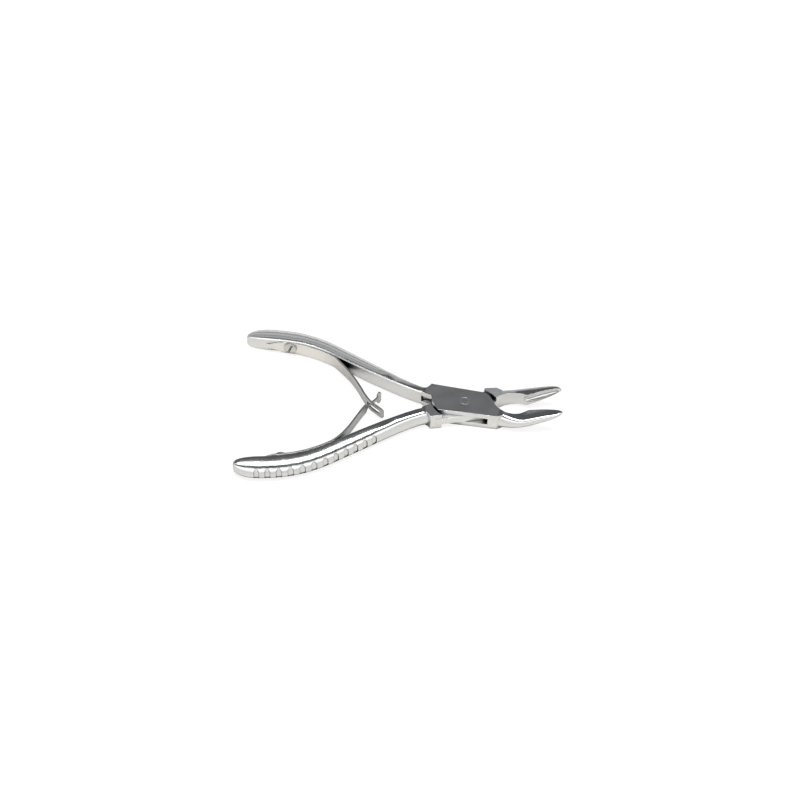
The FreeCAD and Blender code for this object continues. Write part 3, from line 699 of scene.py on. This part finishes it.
def steel_for(slot):
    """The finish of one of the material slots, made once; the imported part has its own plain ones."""
    settings = bpy.context.scene.rongeur_steel
    name = "ground_" + slot
    if name in bpy.data.materials:
        return bpy.data.materials[name]
    # Places along X from which rims get the painted dark line: everywhere for the screws, nowhere for the
    # springs
    everywhere, nowhere = -1.0, 1.0
    if slot == "spring_steel":
        return steel(name, settings.spring_colour, settings.spring_roughness, settings, nowhere,
                     settings.leaf_colour)
    if slot == "screw_steel":
        return steel(name, settings.screw_colour, settings.arm_roughness, settings, everywhere)
    return steel(name, settings.arm_colour, settings.arm_roughness, settings, settings.cup_start)


def new_piece(name, mesh):
    piece = bpy.data.objects.new(name, mesh)
    bpy.context.scene.collection.objects.link(piece)
    return piece


def line_object(name, line):
    """A curve object through the points of a line, for the node group to bend a strip along."""
    curve = bpy.data.curves.new(name, "CURVE")
    curve.dimensions = "3D"
    spline = curve.splines.new("POLY")
    spline.points.add(len(line) - 1)
    for point, place in zip(spline.points, line):
        point.co = (*place, 1)
    return new_piece(name, curve)


def finished(piece, slot, *nodes):
    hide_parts(*nodes)


class RONGEUR_OT_arms(bpy.types.Operator):
    """Dress both arms and the pin with smooth copies of their solids"""
    bl_idname = "rongeur.arms"
    bl_label = "Arms and pin"

    def execute(self, context):
        settings = context.scene.rongeur_steel
        for name, body in (("box_arm", "box_half"), ("joint_pin", "box_half"),
                           ("through_arm", "through_half")):
            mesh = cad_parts[name].data.copy()
            form = bmesh.new()
            form.from_mesh(mesh)
            bmesh.ops.remove_doubles(form, verts=form.verts, dist=SAME_CORNER)
            bmesh.ops.dissolve_degenerate(form, edges=form.edges, dist=SAME_POINT)
            form.to_mesh(mesh)
            form.free()
            mesh.materials.clear()
            mesh.materials.append(steel_for("arm_steel"))
            shaded(mesh, settings, name == "through_arm")
            piece = new_piece("smooth_" + name, mesh)
            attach(piece, body)
            finished(piece, "arm_steel", name)
        return {"FINISHED"}


class RONGEUR_OT_springs(bpy.types.Operator):
    """Make each leaf spring as one bent strip from its tail to its tip"""
    bl_idname = "rongeur.springs"
    bl_label = "Leaf springs"

    def execute(self, context):
        settings = context.scene.rongeur_springs
        group = bent_strip_group()
        line_step = settings.step / 2
        for kind, foot, root_corner, leaf, blank_of in (
                ("slotted", SLOTTED_FOOT, SLOTTED_ROOT, SLOTTED_LEAF, slotted_blank),
                ("tee", TEE_FOOT, TEE_ROOT, TEE_LEAF, tee_blank)):
            line = curve_points(foot + [root_corner] + leaf, line_step)
            length = line_length(line)
            root = along_line(line, in_metres(*root_corner))
            crossing = along_line(line, in_metres(*CROSSING))
            outline, window = blank_of(settings, root, crossing, length)
            tail, foot_half = settings.tail_width / 2, settings.foot_width / 2
            outline = [(0, tail), (settings.tail_point, tail), (settings.tail_length, foot_half),
                       (root, foot_half)] + outline
            places = strip_places(outline + window, length, settings.step)
            blank = flat_strip(kind + "_spring", places, outline, window, settings.thickness)
            piece = new_piece(kind + "_spring", blank)
            guide = line_object(kind + "_line", line)
            run_group(piece, group, {"Line": guide, "Height": settings.middle_height,
                                     "Steel": steel_for("spring_steel")})
            bpy.data.objects.remove(guide)
            if kind == "slotted":
                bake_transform(piece)
                finished(piece, "spring_steel", "slotted_spring_foot", "slotted_spring_leaf")
            else:
                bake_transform(piece)
                finished(piece, "spring_steel", "tee_spring_foot", "tee_spring_leaf")
        return {"FINISHED"}


class RONGEUR_OT_screws(bpy.types.Operator):
    """Make the two slotted spring screws"""
    bl_idname = "rongeur.screws"
    bl_label = "Spring screws"

    def execute(self, context):
        settings = context.scene.rongeur_screws
        group = slotted_screw_group()
        for name, body, side in (("slotted_spring", "box_half", 1), ("tee_spring", "through_half", -1)):
            off = Vector((SCREW_DIRECTION[0], SCREW_DIRECTION[1] * side, 0)).normalized()
            seat = Vector((SCREW_SEAT[0], SCREW_SEAT[1] * side, SCREW_SEAT[2])) * MM + off * settings.seat_gap
            along = Vector((0, 0, 1)).cross(off)
            turn = Matrix((along, off.cross(along), off)).transposed().to_euler()
            piece = new_piece(name + "_screw_head", bpy.data.meshes.new(name + "_screw_head"))
            run_group(piece, group, {"Radius": settings.head_radius, "Height": settings.head_height,
                                     "Dome": settings.dome, "Slot width": settings.slot_width,
                                     "Slot depth": settings.slot_depth,
                                     "Slot turn": -settings.slot_turn * side,
                                     "Seat": tuple(seat), "Turn": tuple(turn),
                                     "Steel": steel_for("screw_steel")})
            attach(piece, body)
            finished(piece, "screw_steel", name + "_screw")
        return {"FINISHED"}


def mixed_shader(tree, factor, first, second):
    inputs = {"Fac": factor, 1: first.outputs[0], 2: second.outputs[0]}
    return node(tree, "ShaderNodeMixShader", inputs)


def by_ray(tree, mirrored, seen):
    """One shader for what the steel mirrors and another for what the camera sees."""
    is_camera = node(tree, "ShaderNodeLightPath").outputs["Is Camera Ray"]
    return mixed_shader(tree, is_camera, mirrored, seen).outputs[0]


def studio_world(settings):
    """White for the camera, and a studio with dark strips that the steel mirrors."""
    world = bpy.data.worlds.new("Studio")
    world.use_nodes = True
    tree = world.node_tree
    tree.nodes.clear()
    direction = node(tree, "ShaderNodeTexCoord").outputs["Generated"]
    way = node(tree, "ShaderNodeSeparateXYZ", {0: direction}).outputs
    height = calculated(tree, "DIVIDE", calculated(tree, "ARCTAN2", way["Z"], way["Y"]), math.pi)
    ramp = node(tree, "ShaderNodeValToRGB", {"Fac": height})
    elements = ramp.color_ramp.elements
    while len(elements) < len(STUDIO):
        elements.new(0.5)
    for element, (where, value) in zip(elements, STUDIO):
        element.position = where
        blue = DARK_BLUE if value < DARK_UNDER else 1.0
        element.color = (value, value * (1 + blue) / 2, value * blue, 1)
    mirrored = node(tree, "ShaderNodeBackground", {"Color": ramp.outputs["Color"],
                                                   "Strength": settings.surround})
    plain = node(tree, "ShaderNodeBackground", {"Color": (1, 1, 1, 1), "Strength": 1.0})
    node(tree, "ShaderNodeOutputWorld", {"Surface": by_ray(tree, mirrored, plain)})
    return world


def paper():
    """Matt paper: white with a weak shadow in the picture, a warm light grey where the steel mirrors it."""
    material = bpy.data.materials.new("paper")
    material.use_nodes = True
    tree = material.node_tree
    tree.nodes.clear()
    mirrored = node(tree, "ShaderNodeBsdfDiffuse", {"Color": PAPER_MIRRORED})
    lit = node(tree, "ShaderNodeBsdfDiffuse", {"Color": PAPER_LIT})
    white = node(tree, "ShaderNodeEmission", {"Strength": PAPER_GLOW})
    seen = mixed_shader(tree, PAPER_GLOW_SHARE, lit, white)
    node(tree, "ShaderNodeOutputMaterial", {"Surface": by_ray(tree, mirrored, seen)})
    return material


class RONGEUR_OT_stage(bpy.types.Operator):
    """Make the floor, the lamp, the surround and the camera of the picture"""
    bl_idname = "rongeur.stage"
    bl_label = "Stage"

    def execute(self, context):
        settings = context.scene.rongeur_stage
        scene = context.scene
        scene.world = studio_world(settings)
        scene.view_settings.view_transform = "Standard"
        bpy.ops.mesh.primitive_plane_add(size=FLOOR_SIZE, location=(0, 0, -FLOOR_GAP))
        floor = context.active_object
        floor.name = "floor"
        floor.data.materials.append(paper())
        light = bpy.data.lights.new("overhead", "AREA")
        light.shape = "RECTANGLE"
        light.size, light.size_y = LAMP_SIZE
        light.energy = settings.key
        lamp = new_piece("overhead", light)
        lamp.location = LAMP_PLACE
        lamp.rotation_euler = (Vector((0, 0, 0)) - lamp.location).to_track_quat("-Z", "Y").to_euler()
        camera = bpy.data.cameras.new("camera")
        camera.sensor_width = 36
        camera.lens = settings.lens
        camera.clip_start, camera.clip_end = 0.01, 20
        eye = new_piece("camera", camera)
        az, el, roll = settings.azimuth, settings.elevation, settings.roll
        back = Vector((math.sin(az) * math.cos(el), -math.cos(az) * math.cos(el), math.sin(el)))
        right = Vector((math.cos(az), math.sin(az), 0))
        up = back.cross(right)
        turned_right = right * math.cos(roll) + up * math.sin(roll)
        turned_up = up * math.cos(roll) - right * math.sin(roll)
        turn = Matrix((turned_right, turned_up, back)).transposed().to_4x4()
        eye.matrix_world = Matrix.Translation(Vector(settings.aim) + back * settings.distance) @ turn
        scene.camera = eye
        return {"FINISHED"}


class RONGEUR_PT_panel(bpy.types.Panel):
    """Buttons that build the rongeur piece by piece"""
    bl_idname = "RONGEUR_PT_panel"
    bl_label = "Bone rongeur"
    bl_space_type = "VIEW_3D"
    bl_region_type = "UI"
    bl_category = "Rongeur"

    def draw(self, context):
        layout = self.layout
        scene = context.scene
        for label, operator, settings in (("Steel", "rongeur.arms", scene.rongeur_steel),
                                          ("Springs", "rongeur.springs", scene.rongeur_springs),
                                          ("Screws", "rongeur.screws", scene.rongeur_screws),
                                          ("Stage", "rongeur.stage", scene.rongeur_stage)):
            box = layout.box()
            box.label(text=label)
            for key in settings.__annotations__:
                box.prop(settings, key)
            box.operator(operator)


CLASSES = (RongeurSpringSettings, RongeurScrewSettings, RongeurSteelSettings, RongeurStageSettings,
           RONGEUR_OT_arms, RONGEUR_OT_springs, RONGEUR_OT_screws, RONGEUR_OT_stage, RONGEUR_PT_panel)


def register():
    for item in CLASSES:
        bpy.utils.register_class(item)
    bpy.types.Scene.rongeur_springs = bpy.props.PointerProperty(type=RongeurSpringSettings)
    bpy.types.Scene.rongeur_screws = bpy.props.PointerProperty(type=RongeurScrewSettings)
    bpy.types.Scene.rongeur_steel = bpy.props.PointerProperty(type=RongeurSteelSettings)
    bpy.types.Scene.rongeur_stage = bpy.props.PointerProperty(type=RongeurStageSettings)


def unregister():
    for name in ("rongeur_springs", "rongeur_screws", "rongeur_steel", "rongeur_stage"):
        delattr(bpy.types.Scene, name)
    for item in reversed(CLASSES):
        bpy.utils.unregister_class(item)


def main():
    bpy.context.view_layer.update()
    register()
    bpy.ops.rongeur.arms()
    bpy.ops.rongeur.springs()
    bpy.ops.rongeur.screws()
    bpy.ops.rongeur.stage()


if __name__ == "__main__":
    main()
